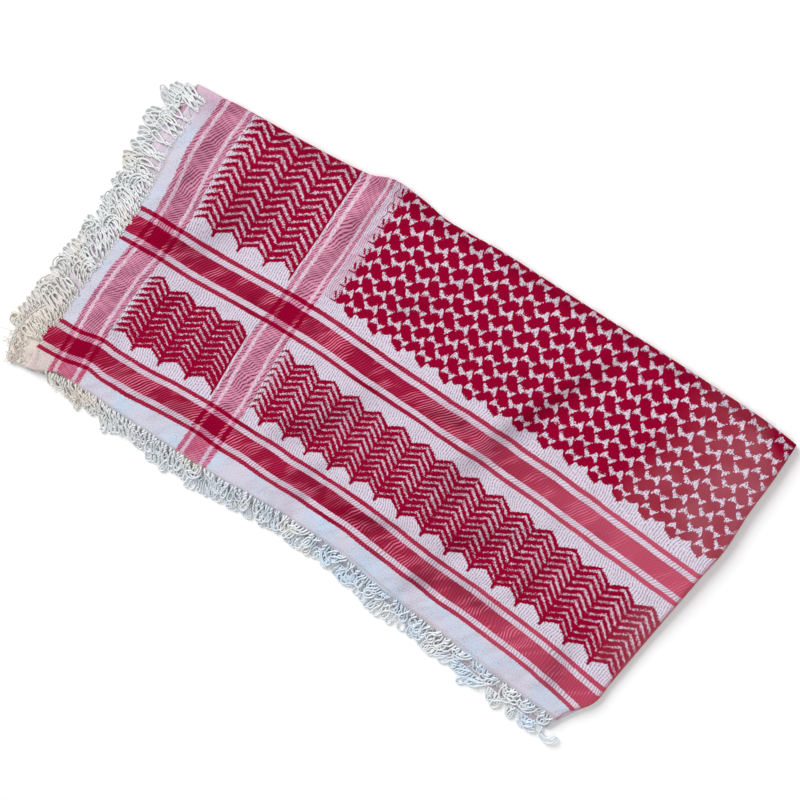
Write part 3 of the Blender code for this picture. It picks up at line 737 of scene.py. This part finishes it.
def patternedCotton():
    c = cotton
    made = Finish("patternedCotton", c["tints"])
    u, v = made.weavePlace()
    u, v = (place + made.drift((u, v, depth), 0.03, c["sway"]) for place, depth in ((u, 0), (v, 40)))
    ragged = made.drift((u, v), 0.85, c["ragged"], 0)
    stepped = made.chance(u, v, *c["thread"]) * 2 - 1  # edges step from thread to thread
    cloudy = made.noise((u, v, 9), 0.012, 2)
    patchy = made.noise((u - v * 0.6, v * 0.4, 31), 0.11)
    speck = made.noise((u * 1.2, v * 0.8, 5), 0.8)
    blotch = made.drift((u, v, 55), 0.03, 3)
    speckled = made.chance(u, v, *c["fleck"])

    fromRed = (abs(v) & abs(v - weave["pitch"])) + ragged * 0.15 + stepped * 0.25
    fromPale = (abs(u) & abs(u - weave["pitch"])) + ragged * 0.35 + stepped * 0.6
    (redHalf, redWhite, redLine), (paleHalf, paleWhite, paleLine) = c["red"], c["pale"]
    weft = fromRed.under(redHalf) | (fromRed.under(redLine) - fromRed.under(redWhite))
    warp = fromPale.under(paleHalf) | (fromPale.under(paleLine) - fromPale.under(paleWhite))
    clear = fromRed.over(redLine) * fromPale.over(paleLine)
    chevrons, inChevrons = (area * clear for area in chevronRed(u, v, ragged, stepped))
    bows, inBows = (area * clear for area in fieldRed(u, v, ragged, stepped))
    bold = chevrons | bows

    # threads: ribs on the ground, slanted streaks on the stripes
    bend = made.drift((u * 0.3, v, 3), 0.07, 8)
    grain = made.drift((u, v, 17), 0.03, 12, 0)
    waver = made.drift((u * 0.8, v, 23), 0.1, 5, 0)
    slant = v * (0.5 - u.over(*c["steeper"][0]) * v.under(*c["steeper"][1]) * 0.6)
    rib = (u + v * 0.12 + bend).wave(c["ribPitch"])
    dash = (u * 0.87 - v * 0.49 + grain * 1.3 + waver * 0.8).wave(c["dashPitch"])
    streak = (u * 0.87 - slant + grain * 0.5 + waver * 0.6).wave(c["streakPitch"])
    ripple = (u * 0.3 + v + grain * 1.6 + waver).wave(c["ripplePitch"])
    tick = (u * 0.85 - slant + waver * 0.8).wave(c["tickPitch"])
    belowHem = v.under(*c["marginUp"])
    inMargin = u.under(*c["marginAcross"]) | belowHem
    onLines = fromRed.under(redLine + 0.4) - fromRed.under(redHalf + 0.2)
    onPaleLines = fromPale.under(paleWhite + 0.3) - fromPale.under(paleHalf - 0.3)

    plain = (u.wave(2.3) - 0.5) * (v.wave(2.1) - 0.5) * 0.48
    fine = (speck - 0.5) * 1.2 + (patchy - 0.5) * 0.6 + plain  # the smooth cloth beside the hems
    dark = rib * (0.08 + speck * 1.1) * (1 - onLines) * (1 - inMargin * 0.9) * (1 - inChevrons * 0.5)
    dark = (dark + fine * inMargin) * (1 - onPaleLines * 0.6) + speckled * onPaleLines * 0.35
    dark = dark + (speck - 0.62) * (1 - inMargin) * (1 + inBows * 2.5 + inChevrons)
    dark = dark + inChevrons * 0.12 + inBows * 0.05
    inCorner = made.fromCorner().under(patchy * 0.04 + 0.0233, 0.0333)
    margin = made.layers(
        "margin", (blotch + belowHem * 0.3, "marginCool"), (blotch * -1, "marginWarm"),
        (v.over(*c["farMargin"][0]) * v.under(*c["farMargin"][1]), "marginFar"),
        (inCorner, "corner"), (inCorner * (speck - 0.56) * 6, "pink"),
    )
    besideField = u.over(157, 2) * u.under(174, 4) * v.over(172, 2)
    blushed = inChevrons * (speckled * 0.7 + 0.1) + inBows * (speckled * 0.6 - 0.15)
    ground = made.layers(
        "white", (inMargin, margin), (blushed + besideField * (patchy * 2 - 0.6), "blush"),
        (tick * onLines * (0.2 + patchy * 0.9), "lineTick"), (dark, "whiteShade"),
        (onPaleLines * (speckled * 0.5 + 0.1), "pink"),
    )
    shown = ((patchy + cloudy * 0.9 - 0.84) * 4.5 | 0.1) & 1
    light = streak.over(0.68, 0.8) * shown * (1 - onLines) + tick * onLines * 0.2
    redStripe = made.layers(
        "crimsonSoft", (light, "crimsonLight"), (0.85 - streak, "crimsonDeep"), (blotch, "crimsonDeep")
    )
    dashes = dash * dash * (0.6 + ripple * 0.5) + (patchy - 0.5) * 0.8 + 0.16
    paleStripe = made.layers("pink", (dashes, "pinkDeep"), (belowHem * (patchy + speck - 0.6), "belowPink"))
    solid = made.layers("crimsonDeep", ((speck - 0.35) * 2, "crimson"))
    fade = u.over(*c["fade"]) * (0.25 + cloudy * 0.6) * (1 + v.over(70) * 0.35)
    boldFade = u.over(*c["boldFade"]) * (inBows | u.over(*c["farFade"]))
    boldFade = boldFade * (cloudy + blotch * (0.8 / 3) - 0.2)
    colour = made.layers(
        ground, (warp, paleStripe), (weft, redStripe), (weft * warp, solid), (bold, solid),
        (fade * weft, "faded"), (boldFade * bold * 2.6, "fadedBold"),
    )
    # painted shade in the troughs, in patches and along the long fold
    colour = made.layers(colour, (made.attribute("wear") * (0.6 - inMargin * 0.45), "worn"), way="MULTIPLY")
    # painted shadow line along the open hems
    hem = made.attribute("hem") * 0.6 * (1 - weft) * (0.4 + speck)
    # painted shade on the short fold's rounded edge
    colour = made.layers(colour, (made.attribute("rim") * 0.8, "rim"), (hem, "hem"))
    raised = bold * 0.4 - (1 - bold) * dark * 0.6 + speck * 0.3 + weft * (1 - warp) * light * 0.3
    return made.finish(colour, 0.9 - bold * 0.08, 0.012, (0.8, 0.0005), raised)


hiddenCotton = dict(
    light=(202, 190, 202), dark=(170, 156, 168),
    front=(212, 210, 214),  # by the fringed side, lighter as painted light against the shade between the fringe rows
    far=(178, 142, 160),  # by the long fold
    corner=(216, 204, 197), cornerDark=(192, 176, 170),
)


def plainCotton():
    made = Finish("hiddenCotton", hiddenCotton)
    u, v = made.weavePlace()
    cloudy = made.noise((u, v), 0.03, 2)
    grain = made.noise((u, v), 1.2)
    warp, weft = u.wave(1.1), v.wave(1.1)
    inCorner = made.fromCorner().under(cloudy * 0.03 + 0.0433, 0.0333)
    felt = made.layers("corner", ((grain - 0.45) * 2 + (cloudy - 0.5) * 2, "cornerDark"))
    # front is painted light on the cotton between the fringe rows
    colour = made.layers(
        "light", (warp * weft * 0.25 + cloudy * 0.3, "dark"), (v.under(-36, 8), "front"),
        (v.over(280, 16) * v.under(*cotton["farMargin"][1]), "far"), (inCorner, felt),
    )
    raised = (warp + weft) * 0.5 + grain * 0.4 + grain * inCorner * 2
    return made.finish(colour, 0.9, 0.03, (0.5, 0.0003), raised)


fringeCotton = dict(
    # dark along the twist is painted shade in the plies' grooves; the fluff adds random tone
    light=(226, 230, 234), dark=(196, 201, 206),
    # these multiply the threads in places
    cream=(255, 243, 228), cool=(234, 245, 255), end=(241, 241, 240),
)


def threadCotton():
    made = Finish("fringeThread", fringeCotton)
    along, around = made.weavePlace()
    turn = (along + around * fringe["twist"]).wave(fringe["twist"])
    fluff = made.noise((along, around * 3), 0.9, 2)
    place = made.piecePlace()
    tint = made.noise(place, 22)
    x = made.node("ShaderNodeSeparateXYZ", (), (place,))
    creamy = ((tint - 0.54) * 4 | 0) * (1 - x.over(-0.02, 0.2) * 0.8) + x.under(-0.12, 0.2) * 0.2
    # painted shade in the twist's grooves, with random fluff tone
    colour = made.layers("light", (turn * 0.3 + fluff * 0.3, "dark"))
    colour = made.layers(
        colour, (x.under(-0.27, 0.03), "end"), (creamy, "cream"),
        (((0.52 - tint) * 4 + 0.5) * x.over(-0.08, 0.2), "cool"),
        ((0.11 - made.fromCorner()) * 9, "cream"), way="MULTIPLY",
    )
    return made.finish(colour, 0.88, 0.05, (0.4, 0.0003), fluff * 0.4 - turn * 0.6)


# The looped fringe: rows of twisted threads that gather into tufts, some curled up into rings.
fringe = dict(
    radius=0.88,
    sides=8,
    twist=4.2,  # length of one turn of the thread
    plyDepth=0.1,  # how deep the two twisted plies part
    hemLength=dict(end=322, side=600),  # what the loops are spaced over
    tuft=(2, 4),  # loops that lean together
    ringTuft=(1, 2),
    gather=0.5,
    twistShare=0.4,  # share of a loop whose legs are twisted together
    lengthSpread=(0.74, 1.14),
    # pitch is from loop to loop, turn spread is in radians, and twists are half turns of the legs
    hard=dict(pitch=3.9, leanSpread=0.26, turnSpread=0.55, eye=(3, 6.2), twists=(1, 2, 3), twistWidth=2),
    soft=dict(pitch=5, leanSpread=0.42, turnSpread=0.8, eye=(4.6, 8.2), twists=(0, 0, 1, 2), twistWidth=3),
    ringTurn=(2.2, 3.9),
    ringLength=1.45,
    ringEye=(3.6, 6.4),
    bend=dict(loop=1.4, ring=1.8),  # how late it starts to turn
    bareCorner=dict(end=25, side=12),  # no loops this near the open corner
    matted=dict(end=45, side=14),  # loops are short and matted up to here
    inset=dict(end=(0.2, 3), side=(-0.6, 1.2)),  # how far inside the hem an upper loop starts
    lowerInset=0.6,
    upperDrop=0.15,  # of an upper row, under the face
    lowerOut=0.7,  # of a lower row, past the hem
    strayRadius=0.26,
    strayLength=(0.5, 1.05),  # against the row's length
    felted=110,  # short loose ends over the open corner
    feltedRadius=0.364,
    feltedLength=(4, 9),
    feltedReach=(-1, 15),  # how far inside the lower hem they lie
    columns="piece node side span lower hand lean length tip rings gaps strays seed".split(),
    rows=(
        ("fringeEndUpper", "fringe_end_upper", "end", (0, 1), False, "hard", (0, -0.3, 0.5),
         24, 4.9, 0.12, 0.4, 26, 3),
        ("fringeEndLower", "fringe_end_lower", "end", (0, 1), True, "hard", (0, -0.15, 0.45),
         19, 1.2, 0.3, 0, 22, 5),
        ("fringeSideUpperNear", "fringe_side_upper_near", "side", (0, 0.5), False, "hard", (0.65, 0.5, 0.2),
         20.5, 4.1, 0.08, 0, 24, 7),
        ("fringeSideUpperFar", "fringe_side_upper_far", "side", (0.5, 1), False, "soft", (0.1, 0, 0),
         16.5, 4.1, 0.4, 0, 24, 8),
        ("fringeSideLowerNear", "fringe_side_lower_near", "side", (0, 0.5), True, "hard", (0.65, 0.5, 0.2),
         20.5, 1.2, 0.1, 0, 16, 11),
        ("fringeSideLowerFar", "fringe_side_lower_far", "side", (0.5, 1), True, "soft", (0.1, 0, 0),
         17.5, 1.2, 0.3, 0, 16, 12),
    ),
)
fringeRows = [dict(zip(fringe["columns"], row)) for row in fringe["rows"]]

patterned, hiddenPly, thread = patternedCotton(), plainCotton(), threadCotton()
print("materials made")

outerCloth = makeFoldedSheet("outerCloth", "outer", patterned)
innerCloth = makeFoldedSheet("innerCloth", "inner", hiddenPly)
tuckedCloth = makeFoldedSheet("tuckedCloth", "tucked", hiddenPly)


def hemPlace(row, share):  # where a row hangs: place, height, and the way out
    s, t = (share * 0, share) if row["side"] == "end" else (share, share * 0)
    x, y = planPoint(s, t)
    outX, outY = edgeNormal(row["side"], share)
    top = topHeight(s, t)
    if not row["lower"]:
        return x, y, top - fringe["upperDrop"], outX, outY
    reach = lowerHem(row["side"], share) + fringe["lowerOut"]
    base = sheets["hemBase"]
    z = base + (top - 2 * base) * sheets["inner"]["lower"][0]
    return x + outX * reach, y + outY * reach, z, outX, outY


class ThreadBundle:  # many twisted threads in one mesh
    def __init__(self):
        self.points, self.faces, self.places = [], [], []
        self.count = 0

    def add(self, path, radius=fringe["radius"], sides=fringe["sides"]):
        run = unit(np.gradient(path, axis=0))
        side = np.cross(run, (0, 0, 1.0))
        side[np.linalg.norm(side, axis=1) < 1e-6] = (1, 0, 0)
        side = unit(side)
        rise = np.cross(side, run)
        length = np.r_[0, np.cumsum(np.linalg.norm(np.diff(path, axis=0), axis=1))][:, None]
        turn = np.arange(sides + 1) * math.tau / sides
        twist = math.tau * length / fringe["twist"] / 2
        thick = radius * (1 + fringe["plyDepth"] * np.cos(2 * (turn - twist)))
        points = (
            path[:, None]
            + side[:, None] * (np.cos(turn) * thick)[..., None]
            + rise[:, None] * (np.sin(turn) * thick)[..., None]
        )
        places = np.stack(np.broadcast_arrays(length, turn / math.tau), axis=-1)
        index = self.count + np.arange(len(path) * sides).reshape(-1, sides)
        self.count += index.size
        index = np.column_stack([index, index[:, 0]])
        corners = quads(np.arange(thick.size).reshape(thick.shape))
        self.points.append(points[:, :-1].reshape(-1, 3))
        self.faces += quads(index)
        self.places.append(places.reshape(-1, 2)[np.ravel(corners)])
        for ring, place in ((index[0, -2::-1], places[0, -2::-1]), (index[-1, :-1], places[-1, :-1])):
            self.faces.append(ring.tolist())
            self.places.append(place)


def walked(heading, step):  # out and along, for a path that turns
    return (np.r_[0, np.cumsum(part(heading[:-1]) * step)] for part in (np.cos, np.sin))


def laidOut(place, outward, sideways, height):
    x, y, z, outX, outY = place
    x, y = x + outward * outX - sideways * outY, y + outward * outY + sideways * outX
    return np.column_stack([x, y, height])


def loopPath(row, share, draw, tuft):  # one loop, out from the hem and back
    place = hemPlace(row, share)
    hand, ring = fringe[row["hand"]], tuft["ring"]
    length = row["length"] * tuft["length"] * tuft["short"] * draw.uniform(0.84, 1.1)
    eye = draw.uniform(*(fringe["ringEye"] if ring else hand["eye"]))
    turn = tuft["turn"] + draw.uniform(-0.3, 0.3) + draw.uniform(-1, 1) * tuft["loose"]
    if ring:
        length = length * fringe["ringLength"]
    lean = tuft["lean"] + draw.uniform(-0.16, 0.16) + draw.uniform(-1, 1) * tuft["loose"] * 0.6
    legs = np.linspace(0, length - eye / 2, 15)
    around = np.linspace(0, math.pi, 8)[1:-1]
    reach = np.r_[legs, legs[-1] + eye / 2 * np.sin(around), legs[::-1]]
    width = hand["twistWidth"]
    half = (width + (eye - width) * smoothStep(legs / length, 0.34, 0.3)) / 2
    twist = math.pi * draw.choice(hand["twists"]) * np.minimum(1, legs / length / fringe["twistShare"])
    leg, above = half * np.cos(twist), 0.9 * np.sin(twist)
    beside = np.r_[leg, eye / 2 * np.cos(around) * math.cos(twist[-1]), -leg[::-1]]
    above = np.r_[above, around * 0, -above[::-1]]
    fine = np.linspace(0, length, 60)
    heading = lean + turn * (fine / length) ** fringe["bend"]["ring" if ring else "loop"]
    axisOut, axisRun = walked(heading, fine[1])
    atHeading = np.interp(reach, fine, heading)
    outward = np.interp(reach, fine, axisOut) - beside * np.sin(atHeading) - tuft["inset"]
    sideways = np.interp(reach, fine, axisRun) + beside * np.cos(atHeading)
    far = reach / length
    z = place[2]
    drop = smoothStep(np.clip(outward, 0, None) / row["length"] * 1.3)
    height = z + (row["tip"] - z) * drop + above + tuft["lift"] * np.sin(math.pi * np.minimum(far, 1))
    height = np.maximum(height + 1.5 * far * ring, fringe["radius"] * 1.3)
    return laidOut(place, outward, sideways, height)


def strayPath(row, share, length, inset, spread, draw):  # one thin loose thread
    place = hemPlace(row, share)
    far = np.linspace(0, 1, 14)
    turn = draw.uniform(-spread, spread) + draw.uniform(-1.6, 1.6) * far
    outward, sideways = walked(turn + 0.4 * np.sin(far * 9 + draw.uniform(0, 6)), length / 13)
    z = place[2]
    top = row["tip"] + 1.2 + draw.uniform(0, 1.2)
    sink = (top - z) * smoothStep(far * 1.4 * length / row["length"])
    return laidOut(place, outward - inset, sideways, z + 0.3 + inset * 0.15 + sink + 0.3 * np.sin(far * 7))


def makeFringe(row, material):
    draw = random.Random(row["seed"])
    bundle = ThreadBundle()
    side, hand = row["side"], fringe[row["hand"]]
    start, finish = row["span"]
    whole = fringe["hemLength"][side]
    span = finish - start
    count = round(whole * span / hand["pitch"])
    index = 0
    while index < count:
        ring = draw.random() < row["rings"]
        size = min(draw.randint(*fringe["ringTuft" if ring else "tuft"]), count - index)
        if ring:
            turn = draw.uniform(*fringe["ringTurn"]) * draw.choice((-1, 1))
        else:
            turn = draw.uniform(-hand["turnSpread"], hand["turnSpread"])
        lean = draw.uniform(-1, 1) * hand["leanSpread"] + np.interp(index / count, (0, 0.5, 1), row["lean"])
        tuft = dict(ring=ring, turn=turn, length=draw.uniform(*fringe["lengthSpread"]))
        for place in range(size):
            share = (index + place + 0.5 + draw.uniform(-0.35, 0.35)) / count
            corner = (share * span + start) * whole
            if corner < fringe["bareCorner"][side]:
                continue
            if draw.random() < row["gaps"] * smoothStep(share, 0.6, 0.2):
                continue
            loose = 1 - smoothStep(corner / fringe["matted"][side])
            tuft.update(short=1 - 0.4 * loose, loose=1.3 * loose)
            tuft["lean"] = lean - (place - (size - 1) / 2) * hand["pitch"] / row["length"] * fringe["gather"]
            tuft["lift"] = draw.uniform(0, 1.4)
            tuft["inset"] = fringe["lowerInset"] if row["lower"] else draw.uniform(*fringe["inset"][side])
            bundle.add(loopPath(row, start + span * share, draw, tuft))
        index += size
    for _ in range(row["strays"]):
        share = start + span * draw.uniform(0.01, 0.99)
        length = row["length"] * draw.uniform(*fringe["strayLength"])
        bundle.add(strayPath(row, share, length, 1, 0.9, draw), fringe["strayRadius"], 5)
    for _ in range(fringe["felted"] if start == 0 and row["lower"] else 0):
        share = draw.uniform(0, fringe["bareCorner"][side] * 1.3 / whole)
        length, inset = draw.uniform(*fringe["feltedLength"]), draw.uniform(*fringe["feltedReach"])
        bundle.add(strayPath(row, share, length, inset, math.pi, draw), fringe["feltedRadius"], 5)
    if row["lower"]:  # the rolled edge of the lower hem
        shares = np.linspace(start + 0.002, finish - 0.002, int(whole * span / 1.6))
        place = hemPlace(row, shares)
        reach = 0.5 + 0.25 * np.sin(shares * whole * math.tau / 5.3)
        bundle.add(laidOut(place, reach, 0, place[2] + 0.2 * np.cos(shares * whole * 1.2)))
    points, places = np.concatenate(bundle.points), np.concatenate(bundle.places) * mm
    piece = meshFrom(row["piece"], points, bundle.faces, places, material)
    print(row["piece"], count, "loops", len(piece.data.polygons), "faces")
    return piece


fringes = [makeFringe(row, thread) for row in fringeRows]

# The stage: a plain pale floor, a large soft light across the folds and a weak one above.
stage = dict(
    floorSize=8,
    floorDrop=0.0002,
    floorTone=(0.93, 0.93, 0.93, 1),
    skyStrength=0.42,
    lights=(  # name, place, size and power
        ("softAcross", (-5.1, 3.1, 3.9), 3.6, 545),
        ("softAbove", (0.8, 0.2, 2.2), 1.6, 13),
    ),
    cameraPlace=(0.03681, 0.57833, 1.3345),
    cameraAim=(0.01588, 0.02242, 0.01),
    cameraRoll=143.95,
    cameraLens=72,
)


def aim(item, place, target=(0, 0, 0), roll=0):
    item.location = place
    turn = (Vector(target) - item.location).to_track_quat("-Z", "Y")
    item.rotation_euler = (turn @ Quaternion((0, 0, 1), -math.radians(roll))).to_euler()


def setStage():
    half = stage["floorSize"] / 2
    data = bpy.data.meshes.new("floor")
    corners = [(x * half, y * half, 0) for x, y in ((-1, -1), (1, -1), (1, 1), (-1, 1))]
    data.from_pydata(corners, [], [(0, 1, 2, 3)])
    data.materials.append(Finish("paleFloor", {}).finish(stage["floorTone"], 0.9, 0, (0, 0.001)))
    floor = added("floor", data)
    floor.location.z = -stage["floorDrop"]
    for name, place, size, power in stage["lights"]:
        lamp = bpy.data.lights.new(name, "AREA")
        lamp.energy, lamp.size = power, size
        aim(added(name, lamp), place)
    scene = bpy.context.scene
    scene.world = bpy.data.worlds.new("softSky")
    scene.world.use_nodes = True
    sky = scene.world.node_tree.nodes["Background"].inputs
    sky["Color"].default_value, sky["Strength"].default_value = (1, 1, 1, 1), stage["skyStrength"]
    scene.view_settings.view_transform = "Standard"
    lens = bpy.data.cameras.new("camera")
    lens.lens = stage["cameraLens"]
    lens.clip_start, lens.clip_end = 0.05, 50
    scene.camera = added("camera", lens)
    aim(scene.camera, stage["cameraPlace"], stage["cameraAim"], stage["cameraRoll"])


setStage()

for piece, node, slotName in (
    (outerCloth, "outer_ply", "patterned_cotton"),
    (innerCloth, "inner_plies", "hidden_cotton"),
    *((piece, row["node"], "fringe_thread") for piece, row in zip(fringes, fringeRows)),
):
    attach(piece, "root")
    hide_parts(node)
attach(tuckedCloth, "root")
